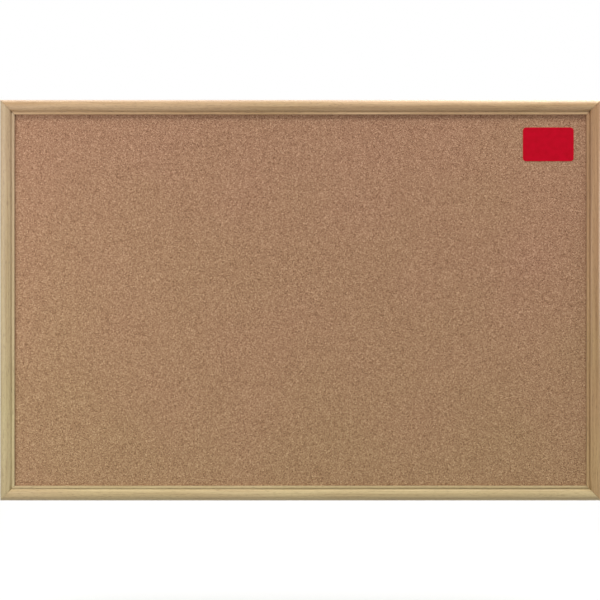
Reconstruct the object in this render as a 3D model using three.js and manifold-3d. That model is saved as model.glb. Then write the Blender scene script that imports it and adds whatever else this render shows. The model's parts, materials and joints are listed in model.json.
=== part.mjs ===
// A cork noticeboard. Four mitred oak rails hold a panel of cork, softboard and hardboard in their
// rabbet. Steel points keep the panel in, two straps on the back carry swinging hanging rings, and
// four bumpers stand the frame off the wall. Millimetres, +Z up, with the cork facing -Y. The wall
// is the plane Y = 0, and the origin is on it, behind the middle of the board.
import * as THREE from "three";
import { mergeVertices } from "three/addons/utils/BufferGeometryUtils.js";
import Module from "manifold-3d";

const wasm = await Module();
wasm.setup();

// Outer size of the frame
const boardWidth = 900;
const boardHeight = 600;

// Clearances
const fitGap = 0.3; // round a piece that is let into another, and round the ring's bar
const glueLine = 0.1; // under a glued layer, a bumper, a strap or a screw's head
const mitreGap = 0.2; // between two rails at a corner
const cutOverrun = 1; // how far a cutter passes the face that it opens
const weldDistance = 1e-4; // vertices closer than this are one vertex

// Oak moulding, across its face from the outer edge inwards
const beadWidth = 17.2;
const quirkWidth = 1.4; // the narrow groove beside the bead
const filletWidth = 3.6;
const rabbetWidth = 6.5;

// Oak moulding, through its depth from the back
const frameDepth = 20;
const outerSideDepth = 12; // flat outer side, up to where the bead starts
const lipThickness = 3.2; // wood in front of the cork's edge
const quirkDepth = 1.3;
const filletRound = 0.4;
const backRound = 1;

// Panel, from the back
const backRecess = 2.2; // from the back of the frame to the hardboard
const hardboardThickness = 2.5;
const softboardThickness = 6;
const corkThickness = 2;
const panelClearance = 1; // round the panel, inside the rabbet

// Blank label on the cork, placed from the frame's inner edges
const labelWidth = 76.2;
const labelHeight = 50.8;
const labelRound = 5;
const labelThickness = 0.2;
const labelSideMargin = 18.6;
const labelTopMargin = 19;

// V-shaped nails across each mitre
const nailLeg = 4.5;
const nailThickness = 0.6;
const nailDepth = 10;
const nailSink = 0.5;
const nailPlaceShares = [0.3, 0.62]; // of the width of the rail's back face

// Steel points that hold the panel in
const pointWidth = 6;
const pointThickness = 0.6;
const pointBite = 5; // length in the wood
const pointTip = 2.5; // tapered part of the bite
const pointReach = 7; // length over the hardboard
const pointRound = 1.2;
const pointsAcross = 4; // on the top and bottom rails
const pointsUpright = 3; // on each stile

// Hanging ring of bent wire
const wireDiameter = 2.2;
const ringCorner = 1.8; // bend beside the bar, on the wire's centre line
const ringPlay = 1.3; // between the strap's edge and the ring's arm
const ringRest = 0.6; // between the folded ring and a screw's head

// Strap folded round the ring's bar
const strapWidth = 8;
const strapThickness = 0.8;
const strapLayerGap = 0.1;
const strapBendRadius = 1.5;
const strapBendAngle = THREE.MathUtils.degToRad(35);
const hangerDrop = 80; // from the top of the board to the ring's bar
const wallClearance = 0.5; // between the strap's fold and the wall

// Pan-head screw
const screwDiameter = 2.9;
const screwLength = 12;
const screwTip = 3.5;
const screwHeadDiameter = 6;
const screwHeadHeight = 2.2;
const screwHeadEdge = 0.7; // straight edge of the head, under its dome
const screwHeadClearance = 0.4; // between the head and the strap's bend
const recessLength = 3.2;
const recessWidth = 0.8;
const recessDepth = 1.1;

// Rubber bumper
const bumperDiameter = 10;
const bumperFlatDiameter = 6;
const bumperEdge = 2.2; // straight edge, under the dome
const bumperInset = 45; // from the end of the rail

// How finely round shapes are divided
const beadSteps = 10;
const roundSteps = 4;
const foldSteps = 20;
const wireSteps = 48;
const wireSides = 10;
const turnedSteps = 20;
const domeSteps = 4;

// Across the moulding
const railWidth = beadWidth + quirkWidth + filletWidth;
const landWidth = railWidth - rabbetWidth; // the moulding's back face
const landMiddle = landWidth / 2;

// Through the panel and the lip, measured from the back of the frame
const hardboardFront = backRecess + hardboardThickness;
const softboardFront = hardboardFront + glueLine + softboardThickness;
const corkFront = softboardFront + glueLine + corkThickness;
const rabbetDepth = corkFront + fitGap;
const filletFace = rabbetDepth + lipThickness;
const quirkFloor = filletFace - quirkDepth;

// Strap and ring, measured from the back of the frame and down from the ring's bar
const wireRadius = wireDiameter / 2;
const foldRadius = wireRadius + fitGap + strapThickness / 2; // of the strap's middle line
const barHeight = glueLine + strapThickness / 2 + foldRadius;
const frontLayer = glueLine + strapThickness / 2;
const rearLayer = frontLayer + strapThickness + strapLayerGap;
const strapTop = rearLayer + strapThickness / 2;
const foldTop = barHeight + foldRadius + strapThickness / 2;
const slopeStart = new THREE.Vector2(
  foldRadius * Math.sin(strapBendAngle),
  barHeight + foldRadius * Math.cos(strapBendAngle),
);
const slopeEndHeight = rearLayer + strapBendRadius * (1 - Math.cos(strapBendAngle));
const slopeRun = (slopeStart.y - slopeEndHeight) / Math.tan(strapBendAngle);
const flatStart = slopeStart.x + slopeRun + strapBendRadius * Math.sin(strapBendAngle);
const screwHeadRadius = screwHeadDiameter / 2;
const upperScrewDrop = flatStart + screwHeadClearance + screwHeadRadius;
const ringReach = upperScrewDrop + screwHeadRadius + ringRest + wireRadius;
const lowerScrewDrop = ringReach + wireRadius + ringRest + screwHeadRadius;
const strapLength = lowerScrewDrop + strapWidth / 2;
const ringTilt = Math.asin((strapTop + fitGap + wireRadius - barHeight) / ringReach); // hanging ring
const screwSeat = strapTop + glueLine;
const screwBite = screwLength - screwSeat; // length in the wood
const ringHalfWidth = strapWidth / 2 + ringPlay + wireRadius; // to the wire's centre line
const wallGap = foldTop + wallClearance; // from the back of the frame to the wall

// Colour and shine of each material
const finishes = {
  oak: { color: 0xc2a679, roughness: 0.5, metalness: 0 },
  cork: { color: 0xa88264, roughness: 0.95, metalness: 0 },
  softboard: { color: 0xb59c74, roughness: 1, metalness: 0 },
  hardboard: { color: 0x6b4a2f, roughness: 0.8, metalness: 0 },
  label: { color: 0xc4112b, roughness: 0.45, metalness: 0 },
  steel: { color: 0xb8bbbd, roughness: 0.35, metalness: 1 },
  rubber: { color: 0x2a2a2a, roughness: 0.8, metalness: 0 },
};

const xAxis = new THREE.Vector3(1, 0, 0);
const yAxis = new THREE.Vector3(0, 1, 0);
const zAxis = new THREE.Vector3(0, 0, 1);

// A closed geometry as a solid that can be cut.
function solidOf(geometry) {
  const bare = geometry.clone();
  bare.deleteAttribute("normal");
  bare.deleteAttribute("uv");
  const welded = mergeVertices(bare, weldDistance);
  const mesh = new wasm.Mesh({
    numProp: 3,
    vertProperties: welded.getAttribute("position").array,
    triVerts: new Uint32Array(welded.index.array),
  });
  return new wasm.Manifold(mesh);
}

function geometryOf(solid) {
  const { vertProperties, triVerts } = solid.getMesh();
  const geometry = new THREE.BufferGeometry();
  geometry.setAttribute("position", new THREE.BufferAttribute(vertProperties, 3));
  geometry.setIndex(new THREE.BufferAttribute(triVerts, 1));
  geometry.computeVertexNormals();
  return geometry;
}

function without(geometry, cutters) {
  return geometryOf(cutters.reduce((left, cutter) => left.subtract(solidOf(cutter)), solidOf(geometry)));
}

function addMesh(parent, name, geometry, finish) {
  const mesh = new THREE.Mesh(geometry, new THREE.MeshStandardMaterial(finishes[finish]));
  mesh.name = name;
  parent.add(mesh);
  return mesh;
}

// Points on an ellipse from one angle to another, both ends included.
function arc(centreX, centreY, radiusX, radiusY, from, to, steps) {
  return Array.from({ length: steps + 1 }, (_, i) => {
    const angle = from + ((to - from) * i) / steps;
    return new THREE.Vector2(centreX + radiusX * Math.cos(angle), centreY + radiusY * Math.sin(angle));
  });
}

// A flat outline given a thickness, from y = top towards the front, with the outline's y along +Z.
function plate(outline, thickness, top) {
  const geometry = new THREE.ExtrudeGeometry(outline, { depth: thickness, bevelEnabled: false });
  geometry.rotateX(Math.PI / 2);
  geometry.translate(0, top, 0);
  return geometry;
}

// Moulding section: x runs in from the outer edge, y runs forward from the back.
function mouldingSection() {
  const quarter = Math.PI / 2;
  const filletInner = railWidth - filletRound;
  const filletOuter = railWidth - filletWidth;
  const filletEdge = filletFace - filletRound;
  return new THREE.Shape([
    ...arc(backRound, backRound, backRound, backRound, 2 * quarter, 3 * quarter, roundSteps),
    new THREE.Vector2(landWidth, 0),
    new THREE.Vector2(landWidth, rabbetDepth),
    new THREE.Vector2(railWidth, rabbetDepth),
    ...arc(filletInner, filletEdge, filletRound, filletRound, 0, quarter, roundSteps),
    ...arc(
      filletOuter + filletRound,
      filletEdge,
      filletRound,
      filletRound,
      quarter,
      2 * quarter,
      roundSteps,
    ),
    new THREE.Vector2(filletOuter, quirkFloor),
    ...arc(beadWidth / 2, quirkFloor, beadWidth / 2, frameDepth - quirkFloor, 0, quarter, beadSteps),
    ...arc(
      beadWidth / 2,
      outerSideDepth,
      beadWidth / 2,
      frameDepth - outerSideDepth,
      quarter,
      2 * quarter,
      beadSteps,
    ).slice(1),
  ]);
}

// A rail along X, with its outer edge at z = 0 and its back at y = 0, and both ends mitred.
function railBlank(length) {
  const geometry = new THREE.ExtrudeGeometry(mouldingSection(), { depth: length, bevelEnabled: false });
  geometry.translate(0, 0, -length / 2);
  // Each point at an end slides back by its own distance from the outer edge, which is a 45 degree cut.
  const places = geometry.getAttribute("position");
  for (let i = 0; i < places.count; i++) {
    const along = length / 2 - places.getX(i) - mitreGap / Math.SQRT2;
    places.setZ(i, Math.sign(places.getZ(i)) * along);
  }
  const turned = new THREE.Matrix4().makeBasis(
    zAxis.clone().negate(),
    yAxis.clone().negate(),
    xAxis.clone().negate(),
  );
  geometry.applyMatrix4(turned);
  return geometry;
}

// V-shaped nail for the top right corner, round the middle of its bend, its legs along -X and -Z.
// The same shape, grown by the fit gap and open at the back, cuts its slot.
function nail(growth, top, depth) {
  const half = nailThickness / 2 + growth;
  const end = -nailLeg - growth;
  const outline = new THREE.Shape([
    new THREE.Vector2(half, half),
    new THREE.Vector2(end, half),
    new THREE.Vector2(end, -half),
    new THREE.Vector2(-half, -half),
    new THREE.Vector2(-half, end),
    new THREE.Vector2(half, end),
  ]);
  return plate(outline, depth, top);
}

function nailSlot(length, end, share) {
  const inset = landWidth * share;
  const slot = nail(fitGap, cutOverrun, cutOverrun + nailSink + nailDepth + fitGap);
  slot.rotateY(end > 0 ? 0 : -Math.PI / 2);
  slot.translate(end * (length / 2 - inset), 0, -inset);
  return slot;
}

// Steel point: its tip is driven out into the rabbet's wall, which is at z = 0 here.
function retainingPoint() {
  const half = pointWidth / 2;
  const roundedEnd = -pointReach + pointRound;
  const outline = new THREE.Shape([
    new THREE.Vector2(0, pointBite),
    new THREE.Vector2(-half, pointBite - pointTip),
    ...arc(-half + pointRound, roundedEnd, pointRound, pointRound, Math.PI, 1.5 * Math.PI, roundSteps),
    ...arc(half - pointRound, roundedEnd, pointRound, pointRound, 1.5 * Math.PI, 2 * Math.PI, roundSteps),
    new THREE.Vector2(half, pointBite - pointTip),
  ]);
  return plate(outline, pointThickness, -(backRecess - fitGap - pointThickness));
}

function pointSlot(along) {
  const slot = new THREE.BoxGeometry(
    pointWidth + 2 * fitGap,
    pointThickness + 2 * fitGap,
    cutOverrun + pointBite + fitGap,
  );
  const middle = (pointBite + fitGap - cutOverrun) / 2;
  slot.translate(along, -(backRecess - fitGap - pointThickness / 2), middle - landWidth);
  return slot;
}

// Places of a rail's points, spread evenly over the panel's edge.
function pointPlaces(length, count) {
  const span = length - 2 * landWidth;
  return Array.from({ length: count }, (_, i) => ((i + 0.5) / count - 0.5) * span);
}

function pilotHole(along) {
  const hole = new THREE.CylinderGeometry(
    screwDiameter / 2 + fitGap,
    screwDiameter / 2 + fitGap,
    cutOverrun + screwBite + fitGap,
    turnedSteps,
  );
  hole.translate(along, (cutOverrun - screwBite - fitGap) / 2, -landMiddle);
  return hole;
}

// One side of the frame: the rail, the points in it and, on the top and bottom, two bumpers.
// The whole side is turned about Y, so in here it is always the top one. On a stile, up is the
// way along the rail that points up on the finished board.
function frameSide({ side, rail, length, away, turn, points, up, bumpers }) {
  const group = new THREE.Group();
  group.rotation.y = turn;
  const places = pointPlaces(length, points);
  const screwDrops = up ? [upperScrewDrop, lowerScrewDrop] : [];
  const cutters = [
    ...[-1, 1].flatMap((end) => nailPlaceShares.map((share) => nailSlot(length, end, share))),
    ...places.map(pointSlot),
    ...screwDrops.map((drop) => pilotHole(up * (length / 2 - hangerDrop - drop))),
  ];
  addMesh(group, rail, without(railBlank(length), cutters), "oak").position.z = away;
  places.forEach((along, i) => {
    const point = addMesh(group, `retaining_point_${side}_${i + 1}`, retainingPoint(), "steel");
    point.position.set(along, 0, away - landWidth);
  });
  bumpers.forEach((name, i) => {
    const bumper = addMesh(group, name, bumperGeometry(), "rubber");
    bumper.position.set((2 * i - 1) * (length / 2 - bumperInset), glueLine, away - landMiddle);
  });
  return group;
}

// Two nails in each corner, numbered from the outer corner inwards.
function cornerNails(corner, turn) {
  const group = new THREE.Group();
  const outwards = new THREE.Vector3(1, 0, 1).applyAxisAngle(yAxis, turn);
  nailPlaceShares.forEach((share, i) => {
    const inset = landWidth * share;
    const mesh = addMesh(group, `mitre_nail_${corner}_${i + 1}`, nail(0, -nailSink, nailDepth), "steel");
    mesh.rotation.y = turn;
    mesh.position.x = Math.sign(outwards.x) * (boardWidth / 2 - inset);
    mesh.position.z = Math.sign(outwards.z) * (boardHeight / 2 - inset);
  });
  return group;
}

// One layer of the panel, with its front face at the given distance from the back of the frame.
function panelLayer(parent, name, thickness, front, finish) {
  const geometry = new THREE.BoxGeometry(
    boardWidth - 2 * (landWidth + panelClearance),
    thickness,
    boardHeight - 2 * (landWidth + panelClearance),
  );
  addMesh(parent, name, geometry, finish).position.y = thickness / 2 - front;
}

function roundedRectangle(width, height, radius) {
  const x = width / 2 - radius;
  const z = height / 2 - radius;
  const quarter = Math.PI / 2;
  return new THREE.Shape([
    ...arc(x, z, radius, radius, 0, quarter, roundSteps),
    ...arc(-x, z, radius, radius, quarter, 2 * quarter, roundSteps),
    ...arc(-x, -z, radius, radius, 2 * quarter, 3 * quarter, roundSteps),
    ...arc(x, -z, radius, radius, 3 * quarter, 4 * quarter, roundSteps),
  ]);
}

// Blank self-adhesive label in the top right corner of the cork, seen from the front.
function cornerLabel(parent) {
  const outline = roundedRectangle(labelWidth, labelHeight, labelRound);
  const label = addMesh(parent, "corner_label", plate(outline, labelThickness, 0), "label");
  label.position.set(
    boardWidth / 2 - railWidth - labelSideMargin - labelWidth / 2,
    -corkFront - glueLine,
    boardHeight / 2 - railWidth - labelTopMargin - labelHeight / 2,
  );
}

// The outline of a bent strip, from its middle line and its thickness.
function strip(line, thickness) {
  const offset = (side) =>
    line.map((point, i) => {
      const before = line[Math.max(i - 1, 0)];
      const after = line[Math.min(i + 1, line.length - 1)];
      const along = after.clone().sub(before).normalize();
      return new THREE.Vector2(-along.y, along.x).multiplyScalar((side * thickness) / 2).add(point);
    });
  return new THREE.Shape([...offset(1), ...offset(-1).reverse()]);
}

// Steel strap: a strip folded round the ring's bar and doubled back on itself, with a rounded end
// and two holes through both layers. The bar's axis passes through x = 0, z = 0.
function strapGeometry() {
  const quarter = Math.PI / 2;
  const slopeEnd = flatStart - strapBendRadius * Math.sin(strapBendAngle);
  const line = [
    new THREE.Vector2(strapLength, frontLayer),
    ...arc(0, barHeight, foldRadius, foldRadius, -quarter, -3 * quarter - strapBendAngle, foldSteps),
    new THREE.Vector2((slopeStart.x + slopeEnd) / 2, (slopeStart.y + slopeEndHeight) / 2),
    ...arc(
      flatStart,
      rearLayer + strapBendRadius,
      strapBendRadius,
      strapBendRadius,
      -quarter - strapBendAngle,
      -quarter,
      roundSteps,
    ),
    new THREE.Vector2(strapLength, rearLayer),
  ];
  const folded = new THREE.ExtrudeGeometry(strip(line, strapThickness), {
    depth: strapWidth,
    bevelEnabled: false,
  });
  folded.translate(0, 0, -strapWidth / 2);
  folded.applyMatrix4(new THREE.Matrix4().makeBasis(zAxis.clone().negate(), yAxis, xAxis));
  const half = strapWidth / 2;
  const above = foldRadius + strapThickness;
  const outline = new THREE.Shape([
    new THREE.Vector2(half, above),
    new THREE.Vector2(-half, above),
    ...arc(0, -lowerScrewDrop, half, half, Math.PI, 2 * Math.PI, foldSteps),
  ]);
  const trimmed = solidOf(folded).intersect(
    solidOf(plate(outline, foldTop + 2 * cutOverrun, foldTop + cutOverrun)),
  );
  return without(
    geometryOf(trimmed),
    [upperScrewDrop, lowerScrewDrop].map((drop) => {
      const radius = screwDiameter / 2 + fitGap;
      const hole = new THREE.CylinderGeometry(radius, radius, 2 * (strapTop + cutOverrun), turnedSteps);
      hole.translate(0, 0, -drop);
      return hole;
    }),
  );
}

// Middle line of the ring's wire, in the XZ plane: a straight bar at z = 0, two tight bends, two
// arms and a half round.
class RingLine extends THREE.Curve {
  constructor() {
    super();
    const bar = ringHalfWidth - ringCorner;
    this.outline = new THREE.Path();
    this.outline.moveTo(0, 0);
    this.outline.absarc(bar, ringCorner, ringCorner, -Math.PI / 2, 0, false);
    this.outline.absarc(0, ringReach - ringHalfWidth, ringHalfWidth, 0, Math.PI, false);
    this.outline.absarc(-bar, ringCorner, ringCorner, Math.PI, 1.5 * Math.PI, false);
    this.outline.lineTo(0, 0);
  }

  getPoint(t, target = new THREE.Vector3()) {
    const flat = this.outline.getPoint(t);
    return target.set(flat.x, 0, flat.y);
  }
}

function ringGeometry() {
  return new THREE.TubeGeometry(new RingLine(), wireSteps, wireRadius, wireSides, true);
}

// Screw along Y, with the underside of its head at y = 0 and its tip towards the front.
function screwGeometry() {
  const radius = screwDiameter / 2;
  const dome = screwHeadHeight - screwHeadEdge;
  const turned = new THREE.LatheGeometry(
    [
      new THREE.Vector2(0, -screwLength),
      new THREE.Vector2(radius, screwTip - screwLength),
      new THREE.Vector2(radius, 0),
      new THREE.Vector2(screwHeadRadius, 0),
      ...arc(0, screwHeadEdge, screwHeadRadius, dome, 0, Math.PI / 2, domeSteps).slice(0, -1),
      new THREE.Vector2(0, screwHeadHeight),
    ],
    turnedSteps,
  );
  const slots = [0, Math.PI / 2].map((turn) => {
    const slot = new THREE.BoxGeometry(recessLength, 2 * recessDepth, recessWidth);
    slot.translate(0, screwHeadHeight, 0);
    slot.rotateY(turn);
    return slot;
  });
  return without(turned, slots);
}

// Bumper turned about Y, with its glued face at y = 0 and its flat end against the wall.
function bumperGeometry() {
  const radius = bumperDiameter / 2;
  const flat = bumperFlatDiameter / 2;
  const height = wallGap - glueLine;
  return new THREE.LatheGeometry(
    [
      new THREE.Vector2(0, 0),
      new THREE.Vector2(radius, 0),
      ...arc(flat, bumperEdge, radius - flat, height - bumperEdge, 0, Math.PI / 2, domeSteps),
      new THREE.Vector2(0, height),
    ],
    turnedSteps,
  );
}

// One hanger: strap, ring and two screws, on the middle of a stile's back face. The ring hangs
// down over the strap, just clear of it.
function hanger(side, towards) {
  const group = new THREE.Group();
  group.position.set(towards * (boardWidth / 2 - landMiddle), 0, boardHeight / 2 - hangerDrop);
  addMesh(group, `${side}_hanger_strap`, strapGeometry(), "steel");
  const ring = addMesh(group, `${side}_hanging_ring`, ringGeometry(), "steel");
  ring.rotation.x = ringTilt - Math.PI;
  ring.position.y = barHeight;
  const upper = addMesh(group, `${side}_hanger_screw_upper`, screwGeometry(), "steel");
  upper.position.set(0, screwSeat, -upperScrewDrop);
  const lower = addMesh(group, `${side}_hanger_screw_lower`, screwGeometry(), "steel");
  lower.position.set(0, screwSeat, -lowerScrewDrop);
  return group;
}

const quarterTurn = Math.PI / 2;
const noticeboard = new THREE.Group();
noticeboard.position.y = -wallGap; // in here, y = 0 is the back of the frame

noticeboard.add(
  frameSide({
    side: "top",
    rail: "top_rail",
    length: boardWidth,
    away: boardHeight / 2,
    turn: 0,
    points: pointsAcross,
    bumpers: ["bumper_top_left", "bumper_top_right"],
  }),
  frameSide({
    side: "right",
    rail: "right_stile",
    length: boardHeight,
    away: boardWidth / 2,
    turn: quarterTurn,
    points: pointsUpright,
    up: -1,
    bumpers: [],
  }),
  frameSide({
    side: "bottom",
    rail: "bottom_rail",
    length: boardWidth,
    away: boardHeight / 2,
    turn: 2 * quarterTurn,
    points: pointsAcross,
    bumpers: ["bumper_bottom_right", "bumper_bottom_left"],
  }),
  frameSide({
    side: "left",
    rail: "left_stile",
    length: boardHeight,
    away: boardWidth / 2,
    turn: -quarterTurn,
    points: pointsUpright,
    up: 1,
    bumpers: [],
  }),
);
["top_right", "bottom_right", "bottom_left", "top_left"].forEach((corner, i) => {
  noticeboard.add(cornerNails(corner, i * quarterTurn));
});
panelLayer(noticeboard, "hardboard_back", hardboardThickness, hardboardFront, "hardboard");
panelLayer(noticeboard, "softboard_core", softboardThickness, softboardFront, "softboard");
panelLayer(noticeboard, "cork_sheet", corkThickness, corkFront, "cork");
cornerLabel(noticeboard);
noticeboard.add(hanger("left", -1), hanger("right", 1));

// The placed board, with the origin on the wall.
const part = new THREE.Group();
part.add(noticeboard);
export default part;
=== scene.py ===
import json
import math

import bmesh
import bpy
import numpy as np
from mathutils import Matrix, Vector


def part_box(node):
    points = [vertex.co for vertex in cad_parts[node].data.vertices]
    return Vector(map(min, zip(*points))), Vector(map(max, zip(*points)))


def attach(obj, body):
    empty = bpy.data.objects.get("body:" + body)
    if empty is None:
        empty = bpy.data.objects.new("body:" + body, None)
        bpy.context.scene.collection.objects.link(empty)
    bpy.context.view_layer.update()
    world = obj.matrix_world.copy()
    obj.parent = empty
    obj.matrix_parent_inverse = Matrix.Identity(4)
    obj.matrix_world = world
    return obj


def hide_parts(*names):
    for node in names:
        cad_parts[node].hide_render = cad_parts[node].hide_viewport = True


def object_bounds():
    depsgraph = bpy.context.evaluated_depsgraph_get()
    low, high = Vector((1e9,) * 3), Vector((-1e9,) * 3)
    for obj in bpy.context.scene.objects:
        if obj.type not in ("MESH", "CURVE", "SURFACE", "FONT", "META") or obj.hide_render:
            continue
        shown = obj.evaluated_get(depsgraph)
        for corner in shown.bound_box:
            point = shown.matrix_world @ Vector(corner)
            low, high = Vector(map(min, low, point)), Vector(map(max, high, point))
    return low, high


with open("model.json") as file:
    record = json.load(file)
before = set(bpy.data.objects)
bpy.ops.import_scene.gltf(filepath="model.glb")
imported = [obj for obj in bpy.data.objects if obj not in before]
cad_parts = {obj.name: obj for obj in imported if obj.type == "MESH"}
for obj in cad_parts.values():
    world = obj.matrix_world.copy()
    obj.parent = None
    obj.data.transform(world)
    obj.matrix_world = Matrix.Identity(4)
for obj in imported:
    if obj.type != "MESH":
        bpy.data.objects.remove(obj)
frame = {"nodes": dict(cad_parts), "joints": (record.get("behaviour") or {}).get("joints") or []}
solid_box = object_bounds()

# Studio. The camera looks straight at the middle of the board, as the photograph does. A broad high
# light falls down the front, softboxes at the sides and a weak light behind fill it in, and a pale
# floor lies well below the board, which hangs on no wall here.

mm = 0.001
half_width = solid_box[1].x
half_height = solid_box[1].z
front_edge_depth = 17 * mm  # the frame's outline is widest here, in front of the wall
lens = 85
sensor = 36
scene_width = 899.1 * mm  # what the picture's width takes in, at that depth
picture_x, picture_z = -0.75 * mm, 0.3 * mm  # the picture's middle, from the board's

camera = bpy.data.objects.new("camera", bpy.data.cameras.new("camera"))
bpy.context.scene.collection.objects.link(camera)
camera.data.lens = lens
camera.data.sensor_width = sensor
camera.location = (picture_x, -front_edge_depth - scene_width * lens / sensor, picture_z)
camera.rotation_euler = (math.pi / 2, 0, 0)
bpy.context.scene.camera = camera
bpy.context.scene.view_settings.view_transform = "Standard"


def linear(hex_colour):
    """An sRGB hex colour as linear red, green, blue and alpha."""
    shares = [int(hex_colour[i : i + 2], 16) / 255 for i in (1, 3, 5)]
    return (*[c / 12.92 if c <= 0.04045 else ((c + 0.055) / 1.055) ** 2.4 for c in shares], 1)


def sun(name, azimuth, elevation, strength, softness):
    """A broad, even light. Azimuth 0 comes from the front and 90 from the right, in degrees."""
    lamp = bpy.data.objects.new(name, bpy.data.lights.new(name, "SUN"))
    bpy.context.scene.collection.objects.link(lamp)
    lamp.data.energy = strength
    lamp.data.angle = math.radians(softness)
    lamp.rotation_euler = (math.radians(90 - elevation), 0, math.radians(azimuth))
    return lamp


def softbox(name, place, size, power):
    """A square, even light that faces the middle of the board, and that no view shows."""
    lamp = bpy.data.objects.new(name, bpy.data.lights.new(name, "AREA"))
    bpy.context.scene.collection.objects.link(lamp)
    lamp.data.energy = power
    lamp.data.size = size
    lamp.location = place
    lamp.rotation_euler = (-Vector(place)).to_track_quat("-Z", "Y").to_euler()
    lamp.visible_camera = False


sun("high_front_light", 0, 64, 2.28, 20).visible_glossy = False
sun("overhead_strip", 180, 78, 2.1, 50).visible_diffuse = False  # only the gloss shows it
sun("back_fill", 160, 30, 0.8, 30)
softbox("left_softbox", (-0.85, -0.65, 0.12), 0.5, 2.7)
softbox("right_softbox", (1.05, -0.06, 0.1), 0.3, 1.75)
softbox("upper_right_softbox", (0.5, -0.1, 0.75), 0.4, 2.2)


def add_node(tree, kind, sockets=(), settings=(), stops=()):
    """Adds a node to the tree. A socket, by name or number, takes a value, or a link where an output is
    given, or another node for its first output. Settings are the node's own properties, and stops are
    a ramp's places and colours."""
    node = tree.nodes.new(kind)
    for key, value in dict(settings).items():
        setattr(node, key, value)
    for key, value in dict(sockets).items():
        if isinstance(value, bpy.types.Node):
            value = value.outputs[0]
        if isinstance(value, bpy.types.NodeSocket):
            tree.links.new(value, node.inputs[key])
        else:
            node.inputs[key].default_value = value
    for i, (place, colour) in enumerate(stops):
        elements = node.color_ramp.elements
        element = elements[i] if i < 2 else elements.new(place)
        element.position = place
        element.color = colour
    return node


def fresh_material(name):
    """A new material and its empty node tree."""
    material = bpy.data.materials.new(name)
    material.use_nodes = True
    material.node_tree.nodes.clear()
    return material, material.node_tree


def looked_at(tree):
    """One where the camera, a reflection or something clear looks at the surface, and otherwise none."""
    path = add_node(tree, "ShaderNodeLightPath")
    seen = add_node(
        tree,
        "ShaderNodeMath",
        {0: path.outputs["Is Camera Ray"], 1: path.outputs["Is Glossy Ray"]},
        {"operation": "MAXIMUM"},
    )
    return add_node(
        tree, "ShaderNodeMath", {0: seen, 1: path.outputs["Is Transmission Ray"]}, {"operation": "MAXIMUM"}
    ).outputs[0]


# The background looks white, and gives the board less light than that.
world = bpy.data.worlds.new("studio")
world.use_nodes = True
bpy.context.scene.world = world
world.node_tree.nodes.clear()
ambient = add_node(
    world.node_tree, "ShaderNodeMapRange", {"Value": looked_at(world.node_tree), "To Min": 0.405}
)
background = add_node(
    world.node_tree, "ShaderNodeBackground", {"Color": linear("#FFFFFF"), "Strength": ambient}
)
add_node(world.node_tree, "ShaderNodeOutputWorld", {"Surface": background})

floor_half = 6.0
floor_height = -half_height - 250 * mm
floor_mesh = bpy.data.meshes.new("floor")
floor_mesh.from_pydata(
    [(x * floor_half, y * floor_half, floor_height) for x, y in ((-1, -1), (1, -1), (1, 1), (-1, 1))],
    [],
    [(0, 1, 2, 3)],
)
floor = bpy.data.objects.new("floor", floor_mesh)
bpy.context.scene.collection.objects.link(floor)
# The paint lights the board as a grey floor does and keeps its shadow, but looks as white as the world.
floor_paint, floor_tree = fresh_material("matt_floor_paint")
floor_matt = add_node(floor_tree, "ShaderNodeBsdfDiffuse", {"Color": linear("#AEAEAC")})
floor_lift = add_node(
    floor_tree, "ShaderNodeMath", {0: looked_at(floor_tree), 1: 0.5}, {"operation": "MULTIPLY"}
)
floor_glow = add_node(floor_tree, "ShaderNodeEmission", {"Strength": floor_lift})
floor_sum = add_node(floor_tree, "ShaderNodeAddShader", {0: floor_matt, 1: floor_glow})
add_node(floor_tree, "ShaderNodeOutputMaterial", {"Surface": floor_sum})
floor_mesh.materials.append(floor_paint)


# Frame. Four lengths of oak moulding, machined with a bead, a quirk and a fillet, rabbeted behind
# for the panel and cut to 45 degrees. They are lacquered, glued at the mitres and nailed across
# them, with slots for nails, points and screws in their backs.

rail_low, rail_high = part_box("top_rail")
wall_gap = -rail_high.y
frame_depth = rail_high.y - rail_low.y
rail_width = rail_high.z - rail_low.z
quirk_width = 1.4 * mm
fillet_width = 3.6 * mm
bead_width = rail_width - quirk_width - fillet_width
land_width = rail_width - 6.5 * mm  # the rabbet takes the rest
outer_side_depth = 12 * mm
rabbet_depth = 13.2 * mm
fillet_face = 16.4 * mm
quirk_floor = 15.1 * mm
mitre_gap = 0.2 * mm
mitre_arris = 0.22 * mm  # how far sanding has broken the edges at the mitre
stations = 41  # sections along each rail


def bend(centre, radii, start, end, steps):
    """Points on an ellipse's arc: the centre plus each radius times the cosine or sine of an angle
    that runs evenly from start to end, in degrees. One radius alone makes it round."""
    angle = np.radians(np.linspace(start, end, steps + 1))
    return np.array(centre) + np.array(radii) * np.stack([np.cos(angle), np.sin(angle)], 1)


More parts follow.
